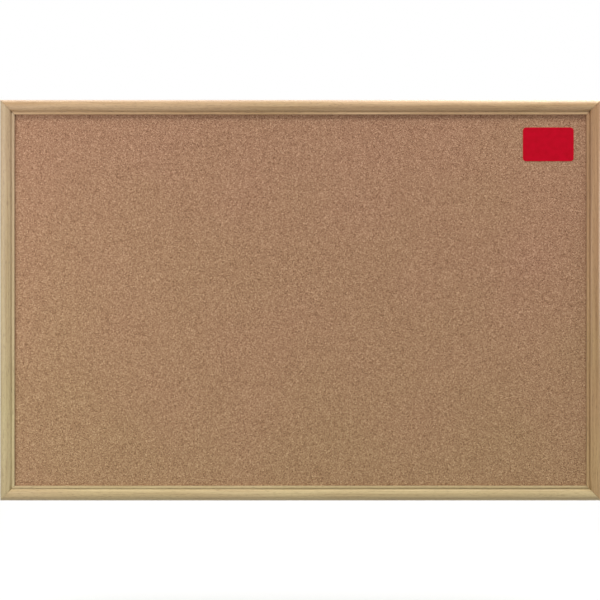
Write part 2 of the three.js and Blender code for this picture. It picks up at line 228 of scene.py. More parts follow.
def moulding_section():
    """The moulding's closed outline. The first value runs in from the outer edge, and the second
    forward from the back. Arcs, with straight lines between them, go over the back, the rabbet, the
    fillet and the quirk to the bead, which is two quarter ellipses."""
    half = bead_width / 2
    quirk_end = rail_width - fillet_width
    back_round = 1 * mm
    face_round = 0.4 * mm
    floor_round = 0.45 * mm
    rabbet_round = 0.25 * mm
    return np.concatenate(
        [
            bend((back_round, back_round), back_round, 180, 270, 8),
            bend((land_width - rabbet_round, rabbet_round), rabbet_round, 270, 360, 4),
            bend((land_width + rabbet_round, rabbet_depth - rabbet_round), rabbet_round, 180, 90, 4),
            bend((rail_width - rabbet_round, rabbet_depth + rabbet_round), rabbet_round, 270, 360, 4),
            bend((rail_width - face_round, fillet_face - face_round), face_round, 0, 90, 8),
            bend((quirk_end + face_round, fillet_face - face_round), face_round, 90, 165, 8),
            bend((quirk_end - floor_round, quirk_floor + floor_round), floor_round, 360, 270, 5),
            bend((bead_width + floor_round, quirk_floor + floor_round), floor_round, 270, 190, 5),
            bend((half, quirk_floor), (half, frame_depth - quirk_floor), 6, 90, 24),
            bend((half, outer_side_depth), (half, frame_depth - outer_side_depth), 90, 180, 28)[1:],
        ]
    )


def shrunk(outline, distance):
    """The closed outline with each point moved inwards, square to the line through its neighbours."""
    along = np.roll(outline, -1, 0) - np.roll(outline, 1, 0)
    along /= np.linalg.norm(along, axis=1, keepdims=True)
    return outline + distance * np.stack([-along[:, 1], along[:, 0]], 1)


def skin(name, rows, looped):
    """A mesh over rows of points, rows by points by 3. Each row is a closed loop, joined to the next
    by four-sided faces. The last row joins the first if looped, and otherwise both are capped."""
    count, size = rows.shape[:2]
    mesh = bpy.data.meshes.new(name)
    row = np.arange(count if looped else count - 1)[:, None] * size
    next_row = (row + size) % (count * size)
    here = np.arange(size)[None, :]
    there = (here + 1) % size
    quads = np.stack([row + here, row + there, next_row + there, next_row + here], -1).reshape(-1, 4)
    faces = quads.tolist()
    if not looped:
        faces += [list(range(size))[::-1], list(range((count - 1) * size, count * size))]
    mesh.from_pydata(rows.reshape(-1, 3).tolist(), [], faces)
    return mesh


def piece(name, rows, looped=False, sharp_angle=40):
    """An object with a skin over the rows, smooth but for edges sharper than the angle, in degrees. Its
    faces point outwards."""
    mesh = skin(name, rows, looped)
    shell = bmesh.new()
    shell.from_mesh(mesh)
    bmesh.ops.recalc_face_normals(shell, faces=shell.faces)
    if shell.calc_volume(signed=True) < 0:
        bmesh.ops.reverse_faces(shell, faces=shell.faces)
    shell.to_mesh(mesh)
    shell.free()
    mesh.polygons.foreach_set("use_smooth", np.ones(len(mesh.polygons), bool))
    mesh.set_sharp_from_angle(angle=math.radians(sharp_angle))
    made = bpy.data.objects.new(name, mesh)
    bpy.context.scene.collection.objects.link(made)
    return made


def cut(target, cutters, sharp_angle=40):
    """Takes the cutters' shapes away from the target, and removes them."""
    bpy.ops.object.select_all(action="DESELECT")
    for cutter in cutters:
        cutter.select_set(True)
    bpy.context.view_layer.objects.active = cutters[0]
    if len(cutters) > 1:
        bpy.ops.object.join()
    joined = bpy.context.view_layer.objects.active
    difference = target.modifiers.new("cuts", "BOOLEAN")
    difference.operation = "DIFFERENCE"
    difference.solver = "EXACT"
    difference.object = joined
    bpy.context.view_layer.objects.active = target
    bpy.ops.object.modifier_apply(modifier=difference.name)
    bpy.data.objects.remove(joined)
    target.data.materials.clear()
    target.data.set_sharp_from_angle(angle=math.radians(sharp_angle))


def placed(points, outward, along, reach):
    """Points given as (in from the outer edge, forward from the back, along the rail), in the board."""
    inset, deep, run = np.moveaxis(points, -1, 0)
    there = (reach - inset)[..., None] * np.array(outward) + run[..., None] * np.array(along)
    return there + np.stack([0 * deep, -wall_gap - deep, 0 * deep], -1)


nail_leg = 4.5 * mm
nail_thickness = 0.6 * mm
nail_insets = (0.3 * land_width, 0.62 * land_width)  # of the nails' middle lines
point_bite = 5 * mm
slot_play = 0.3 * mm
pilot_radius = 1.75 * mm
pilot_depth = 10.4 * mm
overrun = 1 * mm  # how far a cut goes past the surface it starts from


def block(low, high):
    """The eight corners of a box as two closed rows of four, from one face to the opposite one."""
    (a, b, c), (d, e, f) = low, high
    return np.array([[(a, b, z), (d, b, z), (d, e, z), (a, e, z)] for z in (c, f)])


def circle(centre, radius):
    """Twenty-four points that stand evenly on a circle."""
    return bend(centre, radius, 0, 345, 23)


def nail_slot(inset, end, half):
    """The slot for one leg of a mitre nail and its bend, from behind the back to under its foot."""
    low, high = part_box("mitre_nail_top_left_1")
    wide = nail_thickness / 2 + slot_play
    ends = (end * (half - inset - nail_leg - slot_play), end * (half - inset + wide))
    floor_depth = -low.y - wall_gap + slot_play
    return block((inset - wide, -overrun, min(ends)), (inset + wide, floor_depth, max(ends)))


def painted_light_cast_with_height(tree, place, colour, foot, head):
    """The colour times a tint that turns from the foot's to the head's up the board. It turns unevenly, in
    patches of about 220 mm, which a noise adds to the height. The tint is painted light: a colour cast of
    the light that changes up the board."""
    height = add_node(tree, "ShaderNodeSeparateXYZ", {0: place})
    patches = add_node(
        tree, "ShaderNodeTexNoise", {"Vector": place, "Scale": 1 / (220 * mm), "Detail": 2, "Roughness": 0.5}
    )
    uneven_height = add_node(
        tree,
        "ShaderNodeMath",
        {0: height.outputs["Z"], 1: 1 / (700 * mm), 2: patches},
        {"operation": "MULTIPLY_ADD"},
    )
    tint = add_node(
        tree, "ShaderNodeValToRGB", {"Fac": uneven_height}, stops=[(0.1, linear(foot)), (0.9, linear(head))]
    )
    return add_node(
        tree, "ShaderNodeMix", {0: 1.0, 6: colour, 7: tint}, {"data_type": "RGBA", "blend_type": "MULTIPLY"}
    ).outputs[2]


def oak(name, offset, upright, light, dark, pore):
    """Lacquered oak, ring-porous and straight-grained: broad streaks and fine growth lines run with
    the grain, short dark pores break them, and the satin lacquer gives a soft highlight."""
    material, tree = fresh_material(name)
    place = add_node(tree, "ShaderNodeTexCoord").outputs["Object"]
    grain = add_node(
        tree,
        "ShaderNodeMapping",
        {"Vector": place, "Location": offset, "Rotation": (0, math.pi / 2 if upright else 0, 0)},
    )
    # The grain isn't quite straight: it wanders by a few millimetres in the length of a hand.
    wander = add_node(
        tree, "ShaderNodeTexNoise", {"Vector": grain, "Scale": 1 / (160 * mm), "Detail": 1, "Roughness": 0.5}
    )
    bent = add_node(
        tree,
        "ShaderNodeVectorMath",
        {0: wander.outputs["Color"], 1: (0, 9 * mm, 9 * mm), 2: grain},
        {"operation": "MULTIPLY_ADD"},
    )
    # Streaks are about 450 mm long and 8 mm wide, and growth lines 200 mm long and 1.6 mm wide.
    streak_place = add_node(tree, "ShaderNodeMapping", {"Vector": bent, "Scale": (2.2, 120, 120)})
    streaks = add_node(
        tree, "ShaderNodeTexNoise", {"Vector": streak_place, "Scale": 1, "Detail": 4, "Roughness": 0.55}
    )
    line_place = add_node(tree, "ShaderNodeMapping", {"Vector": bent, "Scale": (5, 620, 620)})
    lines = add_node(
        tree, "ShaderNodeTexNoise", {"Vector": line_place, "Scale": 1, "Detail": 2, "Roughness": 0.6}
    )
    # Pores are about 9 mm long and 0.3 mm wide, and crowd together in the softer wood of each year.
    pore_scale = (1 / (9 * mm), 1 / (0.3 * mm), 1 / (0.3 * mm))
    pore_place = add_node(tree, "ShaderNodeMapping", {"Vector": bent, "Scale": pore_scale})
    pores = add_node(
        tree, "ShaderNodeTexNoise", {"Vector": pore_place, "Scale": 1, "Detail": 1, "Roughness": 0.5}
    )
    crowded = add_node(tree, "ShaderNodeMath", {0: lines, 1: -0.35, 2: pores}, {"operation": "MULTIPLY_ADD"})
    pore_mask = add_node(
        tree, "ShaderNodeMapRange", {"Value": crowded, "From Min": 0.42, "From Max": 0.52, "To Max": 0.65}
    )
    both = add_node(tree, "ShaderNodeMath", {0: lines, 1: 0.45, 2: streaks}, {"operation": "MULTIPLY_ADD"})
    tone = add_node(
        tree, "ShaderNodeValToRGB", {"Fac": both}, stops=[(0.48, linear(dark)), (0.98, linear(light))]
    )
    colour = add_node(tree, "ShaderNodeMix", {0: pore_mask, 6: tone, 7: linear(pore)}, {"data_type": "RGBA"})
    height = add_node(
        tree, "ShaderNodeMath", {0: pore_mask, 1: -1.0, 2: lines}, {"operation": "MULTIPLY_ADD"}
    )
    relief = add_node(tree, "ShaderNodeBump", {"Height": height, "Strength": 0.25, "Distance": 0.1 * mm})
    rough = add_node(tree, "ShaderNodeMapRange", {"Value": lines, "To Min": 0.48, "To Max": 0.62})
    # Painted light: a colour cast that turns the oak yellower towards the foot of the board and pinker
    # towards its head, on all four rails alike.
    turned = painted_light_cast_with_height(tree, place, colour.outputs[2], "#FFFFFF", "#FFF0FF")
    shader = add_node(
        tree,
        "ShaderNodeBsdfPrincipled",
        {
            "Base Color": turned,
            "Roughness": rough,
            "IOR": 1.5,
            "Specular IOR Level": 0.2,
            "Coat Weight": 0.7,
            "Coat Roughness": 0.34,
            "Normal": relief,
        },
    )
    add_node(tree, "ShaderNodeOutputMaterial", {"Surface": shader})
    return material


# The lightest, the darkest and the pores' colour of each rail's oak: no two lengths are alike. The right
# stile's darker oak is partly its own colour and partly painted shade, as that side of the board gets less
# light.
rail_colours = {
    "top_rail": ("#CDB785", "#A88C5A", "#785F3F"),
    "bottom_rail": ("#CAB789", "#AB9368", "#776240"),
    "left_stile": ("#C3B587", "#A89469", "#756040"),
    # Partly painted shade: darker than the other rails.
    "right_stile": ("#B9996A", "#906F44", "#664D30"),
}
outwards = {"top": (0, 0, 1), "bottom": (0, 0, -1), "left": (-1, 0, 0), "right": (1, 0, 0)}
section = moulding_section()
for number, (rail, colours) in enumerate(rail_colours.items()):
    side = rail.split("_")[0]
    upright = side in ("left", "right")
    outward = outwards[side]
    along = (0, 0, 1) if upright else (1, 0, 0)
    half, reach = (half_height, half_width) if upright else (half_width, half_height)
    share = np.linspace(-1, 1, stations)[:, None]
    ends = (half - section[:, 0] - mitre_gap / math.sqrt(2))[None, :]
    run = share * (ends - mitre_arris)
    body = np.stack([0 * run + section[:, 0], 0 * run + section[:, 1], run], -1)
    inner = shrunk(section, mitre_arris)
    tip = half - inner[:, 0] - mitre_gap / math.sqrt(2)
    caps = [np.concatenate([inner, (end * tip)[:, None]], 1)[None] for end in (-1, 1)]
    rows = placed(np.concatenate([caps[0], body, caps[1]]), outward, along, reach)
    timber = piece(f"{rail}_moulding", rows)
    cutters = [nail_slot(inset, end, half) for inset in nail_insets for end in (-1, 1)]
    for node in frame["nodes"]:
        kind = node.rsplit("_", 1)[0]
        if kind not in (f"retaining_point_{side}", f"{side}_hanger_screw"):
            continue
        low, high = (np.array(corner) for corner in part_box(node))
        middle = float((low + high) @ along / 2)
        if kind.startswith("retaining_point"):
            wide = float((high - low) @ along / 2) + slot_play
            deep, shallow = -low[1] - wall_gap + slot_play, -high[1] - wall_gap - slot_play
            near, far = land_width - point_bite - slot_play, land_width + overrun
            cutters.append(block((near, shallow, middle - wide), (far, deep, middle + wide)))
        else:
            hole = circle((land_width / 2, middle), pilot_radius)
            cutters.append(np.stack([np.insert(hole, 1, deep, axis=1) for deep in (-overrun, pilot_depth)]))
    cut(
        timber,
        [piece(f"cutter_{i}", placed(rows, outward, along, reach)) for i, rows in enumerate(cutters)],
    )
    timber.data.materials.append(
        oak(f"lacquered_oak_{rail}", (0.37 * number, 0.11 * number, 0.23 * number), upright, *colours)
    )
    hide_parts(rail)
    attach(timber, "framed_board")


# Cork. One sheet of fine-grained composition cork: granules of up to 2 mm and smaller crumbs, bound,
# sliced and sanded flat. It is glued down, its edges lie behind the fillet, and it isn't dead flat.

cork_low, cork_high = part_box("cork_sheet")
cork_arris = 0.3 * mm
cork_divisions = (84, 126)  # parts of its face from top to bottom, and rows between its ends
swell = 0.07 * mm  # how far the glued face rises and falls
swell_length = 190 * mm
slants = (0.4, 0.3)  # of the two waves' crests


def carried(outline, length, arris, between=0):
    """Rows of a closed outline carried over a length, as its two values and the run. At both ends it
    draws in along a quarter round: inwards by the arris times one minus the sine of the turn, while
    the run moves on by the arris times one minus the cosine."""
    turn = np.radians(np.linspace(0, 90, 4))
    inset = arris * (1 - np.sin(turn))
    run = arris * (1 - np.cos(turn))
    middle = np.linspace(arris, length - arris, between + 2)[1:-1]
    runs = np.concatenate([run, middle, length - run[::-1]])
    insets = np.concatenate([inset, 0 * middle, inset[::-1]])
    flat = np.stack([shrunk(outline, distance) for distance in insets])
    return np.concatenate([flat, np.broadcast_to(runs[:, None, None], (*flat.shape[:2], 1))], -1)


def sheet_section(low, high, arris, divisions):
    """A flat sheet's closed section, as (Y, Z): four quarter rounds, with its front face divided."""
    (front, bottom), (back, top) = (low.y, low.z), (high.y, high.z)
    face = np.linspace(top - arris, bottom + arris, divisions + 1)[1:-1]
    return np.concatenate(
        [
            bend((front + arris, bottom + arris), arris, 180, 270, 4),
            bend((back - arris, bottom + arris), arris, 270, 360, 4),
            bend((back - arris, top - arris), arris, 0, 90, 4),
            bend((front + arris, top - arris), arris, 90, 180, 4),
            np.stack([np.full(divisions - 1, front), face], 1),
        ]
    )


def sheet_rows(node, arris, divisions, between):
    """Rows over a sheet that fills the node's box: its section, carried from left to right."""
    low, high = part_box(node)
    rows = carried(sheet_section(low, high, arris, divisions), high.x - low.x, arris, between)
    return np.stack([low.x + rows[..., 2], rows[..., 0], rows[..., 1]], -1)


cork_rows = sheet_rows("cork_sheet", cork_arris, *cork_divisions)
x, y, z = np.moveaxis(cork_rows, -1, 0)
depth_share = np.clip((cork_high.y - y) / (cork_high.y - cork_low.y), 0, 1)
# The face lies back by up to twice the swell, in the product of two waves that cross aslant.
long_wave = np.sin(math.tau * (x + slants[0] * z) / swell_length)
wave = long_wave * np.sin(math.tau * (z - slants[1] * x) / swell_length + 1)
cork_rows[..., 1] += depth_share * swell * (1 + wave)


def composition_cork():
    """Composition cork: crooked granules a couple of millimetres wide with small crumbs packed between
    them, each a little lighter or darker than the next. Dark binder shows in some of the joints, and
    a few crumbs are bark."""
    material, tree = fresh_material("composition_cork")
    place = add_node(tree, "ShaderNodeTexCoord").outputs["Object"]
    wobble = add_node(
        tree,
        "ShaderNodeTexNoise",
        {"Vector": place, "Scale": 1 / (0.9 * mm), "Detail": 3, "Roughness": 0.65},
    )
    # The granules' sides wander by up to 0.7 mm.
    crooked = add_node(
        tree,
        "ShaderNodeVectorMath",
        {0: wobble.outputs["Color"], 1: (1.4 * mm, 1.4 * mm, 1.4 * mm), 2: place},
        {"operation": "MULTIPLY_ADD"},
    )
    granules, granule_sides, crumbs, crumb_sides = [
        add_node(tree, "ShaderNodeTexVoronoi", {"Vector": crooked, "Scale": 1 / size}, {"feature": feature})
        for size in (1.9 * mm, 0.8 * mm)
        for feature in ("F1", "DISTANCE_TO_EDGE")
    ]
    granule_tone = add_node(tree, "ShaderNodeSeparateColor", {0: granules.outputs["Color"]})
    crumb_tone = add_node(tree, "ShaderNodeSeparateColor", {0: crumbs.outputs["Color"]})
    inside = add_node(
        tree,
        "ShaderNodeMapRange",
        {"Value": granule_sides.outputs["Distance"], "From Min": 0.09, "From Max": 0.14},
    )
    packed_tone = add_node(
        tree,
        "ShaderNodeMix",
        {0: inside, 2: crumb_tone.outputs[0], 3: granule_tone.outputs[0]},
        {"data_type": "FLOAT"},
    )
    # Each granule is uneven within itself, down to its cells, which are too fine to tell apart.
    flesh = add_node(
        tree,
        "ShaderNodeTexNoise",
        {"Vector": place, "Scale": 1 / (0.6 * mm), "Detail": 3, "Roughness": 0.75},
    )
    uneven_tone = add_node(tree, "ShaderNodeMix", {0: 0.4, 2: packed_tone, 3: flesh}, {"data_type": "FLOAT"})
    tone = add_node(
        tree,
        "ShaderNodeValToRGB",
        {"Fac": uneven_tone},
        stops=[
            (0.15, linear("#77513A")),
            (0.85, linear("#DAB694")),
            (0.36, linear("#A27C60")),
            (0.66, linear("#BC9676")),
        ],
    )
    joint_line = add_node(
        tree,
        "ShaderNodeMapRange",
        {"Value": crumb_sides.outputs["Distance"], "From Min": 0.12, "From Max": 0.03, "To Max": 0.8},
    )
    open_joints = add_node(tree, "ShaderNodeMapRange", {"Value": wobble, "From Min": 0.5, "From Max": 0.62})
    binder_mask = add_node(
        tree, "ShaderNodeMath", {0: joint_line, 1: open_joints}, {"operation": "MULTIPLY"}
    )
    bound = add_node(
        tree, "ShaderNodeMix", {0: binder_mask, 6: tone, 7: linear("#6E4C34")}, {"data_type": "RGBA"}
    )
    bark_mask = add_node(
        tree,
        "ShaderNodeMapRange",
        {"Value": crumb_tone.outputs[1], "From Min": 0.92, "From Max": 0.94, "To Max": 0.75},
    )
    colour_with_bark = add_node(
        tree,
        "ShaderNodeMix",
        {0: bark_mask, 6: bound.outputs[2], 7: linear("#5E3F2A")},
        {"data_type": "RGBA"},
    )
    # Painted light: a colour cast that turns the cork yellower towards the foot of the board and pinker
    # towards its head.
    turned = painted_light_cast_with_height(tree, place, colour_with_bark.outputs[2], "#F6FBF0", "#FCF6F9")
    sunk = add_node(
        tree, "ShaderNodeMath", {0: binder_mask, 1: -0.8, 2: packed_tone}, {"operation": "MULTIPLY_ADD"}
    )
    height = add_node(tree, "ShaderNodeMath", {0: flesh, 1: 1.2, 2: sunk}, {"operation": "MULTIPLY_ADD"})
    relief = add_node(tree, "ShaderNodeBump", {"Height": height, "Strength": 0.45, "Distance": 0.15 * mm})
    shader = add_node(
        tree,
        "ShaderNodeBsdfPrincipled",
        {"Base Color": turned, "Roughness": 0.88, "IOR": 1.4, "Specular IOR Level": 0.3, "Normal": relief},
    )
    add_node(tree, "ShaderNodeOutputMaterial", {"Surface": shader})
    return material


cork = piece("cork_face", cork_rows)
cork.data.materials.append(composition_cork())
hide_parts("cork_sheet")
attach(cork, "framed_board")


# Core. A sheet of softboard, pressed wood fibre, which grips the pins. The cork and the hardboard
# are glued to its faces, and only its edges could be seen, inside the rabbet.


def fibreboard(name, light, dark, fibre_length, mesh_pitch, roughness):
    """Pressed wood fibre: short fibres lie every way in the sheet and give it a felted, mottled look. A
    pitch above nothing adds the print of the wire mesh that it was pressed on, with painted shade in its
    hollows."""
    material, tree = fresh_material(name)
    place = add_node(tree, "ShaderNodeTexCoord").outputs["Object"]
    tangle = add_node(
        tree,
        "ShaderNodeTexNoise",
        {"Vector": place, "Scale": 1 / fibre_length, "Detail": 5, "Roughness": 0.65, "Distortion": 1.6},
    )
    mottle = add_node(
        tree, "ShaderNodeTexNoise", {"Vector": place, "Scale": 1 / (45 * mm), "Detail": 3, "Roughness": 0.55}
    )
    both = add_node(tree, "ShaderNodeMath", {0: mottle, 1: 0.3, 2: tangle}, {"operation": "MULTIPLY_ADD"})
    tone = add_node(
        tree, "ShaderNodeValToRGB", {"Fac": both}, stops=[(0.48, linear(dark)), (0.82, linear(light))]
    )
    height, colour = tangle, tone
    if mesh_pitch:
        # The wires' print: two waves multiplied, one across the sheet and one up it. A wave turns by 20
        # radians in a unit, so this scale gives one wave to a pitch.
        threads = [
            add_node(
                tree,
                "ShaderNodeTexWave",
                {
                    "Vector": place,
                    "Scale": math.tau / (20 * mesh_pitch),
                    "Distortion": 0.25,
                    "Detail": 1,
                    "Detail Scale": 1,
                },
                {"bands_direction": direction},
            )
            for direction in "XZ"
        ]
        print_height = add_node(
            tree,
            "ShaderNodeMath",
            {0: threads[0].outputs["Fac"], 1: threads[1].outputs["Fac"]},
            {"operation": "MULTIPLY"},
        )
        # The print's hollows are drawn darker: painted shade.
        painted_hollow_shade = add_node(tree, "ShaderNodeMapRange", {"Value": print_height, "To Min": 0.35, "To Max": 0})
        print_with_painted_shade = add_node(
            tree, "ShaderNodeMix", {0: painted_hollow_shade, 6: tone, 7: linear(dark)}, {"data_type": "RGBA"}
        )
        combined = add_node(
            tree, "ShaderNodeMath", {0: print_height, 1: 1.6, 2: tangle}, {"operation": "MULTIPLY_ADD"}
        )
        height, colour = combined, print_with_painted_shade.outputs[2]
    relief = add_node(tree, "ShaderNodeBump", {"Height": height, "Strength": 0.5, "Distance": 0.2 * mm})
    shader = add_node(
        tree,
        "ShaderNodeBsdfPrincipled",
        {"Base Color": colour, "Roughness": roughness, "IOR": 1.45, "Normal": relief},
    )
    add_node(tree, "ShaderNodeOutputMaterial", {"Surface": shader})
    return material


core_arris = 0.4 * mm
board_divisions = (8, 11)
core = piece("softboard_sheet", sheet_rows("softboard_core", core_arris, *board_divisions))
core.data.materials.append(fibreboard("softboard", "#C9B289", "#977C55", 1.5 * mm, 0, 0.95))
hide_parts("softboard_core")
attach(core, "framed_board")


# Back. A sheet of hardboard closes the rabbet, with its rough face outwards. It is hot-pressed wood
# fibre, dark brown, and that face keeps the print of the wire mesh from the press.

back_arris = 0.25 * mm
back = piece("hardboard_sheet", sheet_rows("hardboard_back", back_arris, *board_divisions))
# The real mesh has a wire every 1.3 mm. It is drawn at 2.2 mm, so that it shows from a few metres.
back.data.materials.append(
    fibreboard("screen_backed_hardboard", "#8A6241", "#5B3D26", 1.1 * mm, 2.2 * mm, 0.62)
)
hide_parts("hardboard_back")
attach(back, "framed_board")


# Label. A blank self-adhesive label of red vinyl, die-cut with round corners and pressed on to the
# cork, whose granules show through faintly. Its edges roll over to the cork.

label_low, label_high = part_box("corner_label")
label_corner = 5 * mm
label_edge = 0.16 * mm  # how far in the edge has rolled over to the full thickness
label_crown = 0.02 * mm  # the last that it rises, between the roll and the flat
crown_end = 0.6 * mm  # how far in the flat starts
flat_row = 2 * mm  # how far in its last row lies


def rounded(points, radii, steps=6):
    """A closed outline whose corners are arcs that touch both sides. An arc's centre lies on the line
    that halves the corner, its radius over the sine of half the angle away, and its points turn
    evenly about it from one side to the other."""
    points = np.array(points, float)
    radii = np.broadcast_to(np.array(radii, float), len(points))[:, None]
    back_way = np.roll(points, 1, 0) - points
    on_way = np.roll(points, -1, 0) - points
    back_way /= np.linalg.norm(back_way, axis=1, keepdims=True)
    on_way /= np.linalg.norm(on_way, axis=1, keepdims=True)
    middle_way = back_way + on_way
    middle_way /= np.linalg.norm(middle_way, axis=1, keepdims=True)
    half_angle = np.arccos(np.clip((middle_way * on_way).sum(1, keepdims=True), -1, 1))
    centre = points + middle_way * radii / np.sin(half_angle)
    first = points + back_way * radii / np.tan(half_angle) - centre
    last = points + on_way * radii / np.tan(half_angle) - centre
    turn = math.pi - 2 * half_angle
    share = np.linspace(0, 1, steps + 1)[None, :, None]
    turned = (
        np.sin((1 - share) * turn[:, None]) * first[:, None] + np.sin(share * turn[:, None]) * last[:, None]
    ) / np.sin(turn)[:, None]
    return (centre[:, None] + turned).reshape(-1, 2)


label_outline = rounded(
    [
        (label_high.x, label_high.z),
        (label_low.x, label_high.z),
        (label_low.x, label_low.z),
        (label_high.x, label_low.z),
    ],
    label_corner,
    10,
)
# The outline is drawn in by the edge times one minus the roll's cosine, and rises with its sine.
roll = np.radians(np.linspace(0, 90, 6))
insets = np.concatenate([label_edge * (1 - np.cos(roll)), [crown_end, flat_row]])
rise = label_low.y + label_crown - cork_low.y
fronts = np.concatenate([cork_low.y + rise * np.sin(roll), [label_low.y, label_low.y]])
label_rows = np.stack(
    [np.insert(shrunk(label_outline, inset), 1, front, axis=1) for inset, front in zip(insets, fronts)]
)


def red_vinyl():
    """Red vinyl film with a satin face: a smooth colour that light slides over, broken a little where
    the granules under it lift it, and by dust and handling."""
    material, tree = fresh_material("red_vinyl_film")
    place = add_node(tree, "ShaderNodeTexCoord").outputs["Object"]
    under = add_node(
        tree,
        "ShaderNodeTexVoronoi",
        {"Vector": place, "Scale": 1 / (2.1 * mm), "Smoothness": 0.6},
        {"feature": "SMOOTH_F1"},
    )
    haze = add_node(
        tree, "ShaderNodeTexNoise", {"Vector": place, "Scale": 1 / (9 * mm), "Detail": 3, "Roughness": 0.6}
    )
    tone = add_node(
        tree, "ShaderNodeValToRGB", {"Fac": haze}, stops=[(0.3, linear("#B4001B")), (0.7, linear("#C20123"))]
    )
    rough = add_node(tree, "ShaderNodeMapRange", {"Value": haze, "To Min": 0.3, "To Max": 0.46})
    relief = add_node(
        tree, "ShaderNodeBump", {"Height": under.outputs["Distance"], "Strength": 0.3, "Distance": 0.12 * mm}
    )
    shader = add_node(
        tree,
        "ShaderNodeBsdfPrincipled",
        {"Base Color": tone, "Roughness": rough, "IOR": 1.52, "Specular IOR Level": 0.1, "Normal": relief},
    )
    add_node(tree, "ShaderNodeOutputMaterial", {"Surface": shader})
    return material


label = piece("label_film", label_rows)
label.data.materials.append(red_vinyl())
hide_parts("corner_label")
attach(label, "framed_board")


# Mitre nails. V-shaped nails stamped from bright steel strip are driven into the frame's back, two
# across each joint, with one leg in each rail, until they sit just under the surface.

nail_arris = 0.08 * mm
nail_bend = 0.55 * mm
nail_inner_bend = 0.1 * mm
nail_corner = 0.12 * mm
nail_outline = rounded(
    [
        (nail_thickness / 2, nail_thickness / 2),
        (-nail_leg, nail_thickness / 2),
        (-nail_leg, -nail_thickness / 2),
        (-nail_thickness / 2, -nail_thickness / 2),
        (-nail_thickness / 2, -nail_leg),
        (nail_thickness / 2, -nail_leg),
    ],
    [nail_bend, nail_corner, nail_corner, nail_inner_bend, nail_corner, nail_corner],
)


def metal(name, light, dark, scratch_length, smooth, rough):
    """Bare or plated steel: a grey that fine rolling marks and stains make uneven, with the marks
    and a dull bloom in its gloss. A metal's colour is that of its reflection."""
    material, tree = fresh_material(name)
    place = add_node(tree, "ShaderNodeTexCoord").outputs["Object"]
    bloom = add_node(
        tree, "ShaderNodeTexNoise", {"Vector": place, "Scale": 1 / (2.5 * mm), "Detail": 4, "Roughness": 0.6}
    )
    mark_place = add_node(
        tree,
        "ShaderNodeMapping",
        {"Vector": place, "Scale": (1 / (0.12 * mm), 1 / (0.12 * mm), 1 / scratch_length)},
    )
    marks = add_node(tree, "ShaderNodeTexNoise", {"Vector": mark_place, "Scale": 1, "Detail": 2})
    tone = add_node(
        tree, "ShaderNodeValToRGB", {"Fac": bloom}, stops=[(0.3, linear(dark)), (0.65, linear(light))]
    )
    both = add_node(tree, "ShaderNodeMath", {0: marks, 1: 0.5, 2: bloom}, {"operation": "MULTIPLY_ADD"})
    gloss = add_node(
        tree,
        "ShaderNodeMapRange",
        {"Value": both, "From Min": 0.5, "From Max": 1.0, "To Min": smooth, "To Max": rough},
    )
    relief = add_node(tree, "ShaderNodeBump", {"Height": marks, "Strength": 0.12, "Distance": 0.05 * mm})
    shader = add_node(
        tree,
        "ShaderNodeBsdfPrincipled",
        {"Base Color": tone, "Metallic": 1.0, "Roughness": gloss, "Normal": relief},
    )
    add_node(tree, "ShaderNodeOutputMaterial", {"Surface": shader})
    return material


def quarter_turned(turns):
    """Takes (across, outwards, towards the front), drawn for the top of the board or its top right
    corner, to the board's axes, some quarter turns further, clockwise as seen from the front."""
    cosine, sine = round(math.cos(turns * math.pi / 2)), round(math.sin(turns * math.pi / 2))
    return np.array([(cosine, 0, -sine), (sine, 0, cosine), (0, -1, 0)])


nail_steel = metal("bright_steel_strip", "#B9BABA", "#8E8D8A", 3 * mm, 0.28, 0.45)
for turns, corner in enumerate(("top_right", "bottom_right", "bottom_left", "top_left")):
    for node in (f"mitre_nail_{corner}_1", f"mitre_nail_{corner}_2"):
        low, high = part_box(node)
        x_side, z_side = (1 if high.x > 0 else -1), (1 if high.z > 0 else -1)
        bend_x = x_side * (max(abs(low.x), abs(high.x)) - nail_thickness / 2)
        bend_z = z_side * (max(abs(low.z), abs(high.z)) - nail_thickness / 2)
        rows = carried(nail_outline, high.y - low.y, nail_arris) @ quarter_turned(turns)
        rows += (bend_x, high.y, bend_z)
        nail = piece(f"{node}_steel", rows)
        nail.data.materials.append(nail_steel)
        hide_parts(node)
        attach(nail, "framed_board")


# Retaining points. Flat steel points are shot from the rabbet into its wall, and the part that
# stays out holds the hardboard down. The free end is rounded and the edges are rolled.

point_arris = 0.15 * mm
point_taper = 2.5 * mm  # the length of the sharp end, which lies in the wood
tip_round = 0.3 * mm
shoulder_round = 0.8 * mm
end_round = 1.2 * mm
for turns, side in enumerate(("top", "right", "bottom", "left")):
    for node in [name for name in frame["nodes"] if name.startswith(f"retaining_point_{side}_")]:
        low, high = (np.array(corner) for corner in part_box(node))
        middle, size = (low + high) / 2, high - low
        half, reach = np.abs(quarter_turned(turns)[:2] @ size) / 2
        shoulder = reach - point_taper
        outline = rounded(
            [(0, reach), (-half, shoulder), (-half, -reach), (half, -reach), (half, shoulder)],
            [tip_round, shoulder_round, end_round, end_round, shoulder_round],
        )
        rows = carried(outline, size[1], point_arris) @ quarter_turned(turns)
        rows += (middle[0], high[1], middle[2])
        point = piece(f"{node}_steel", rows)
        point.data.materials.append(nail_steel)
        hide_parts(node)
        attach(point, "framed_board")


# Hanger straps. A strip of zinc-plated steel is folded round the ring's bar and doubled back on
# itself. Its end is rounded, and two holes go through both layers.

zinc = metal("zinc_plated_steel", "#C3C7C8", "#A3A6A2", 2 * mm, 0.24, 0.42)
strap_thickness = 0.8 * mm
layer_gap = 0.1 * mm
glue_line = 0.1 * mm
fold_radius = 1.8 * mm
slope_radius = 1.5 * mm
slope = math.radians(35)
strap_edge = 0.28 * mm
last_turn = 87  # degrees, short of the round end's tip, which a narrow face closes


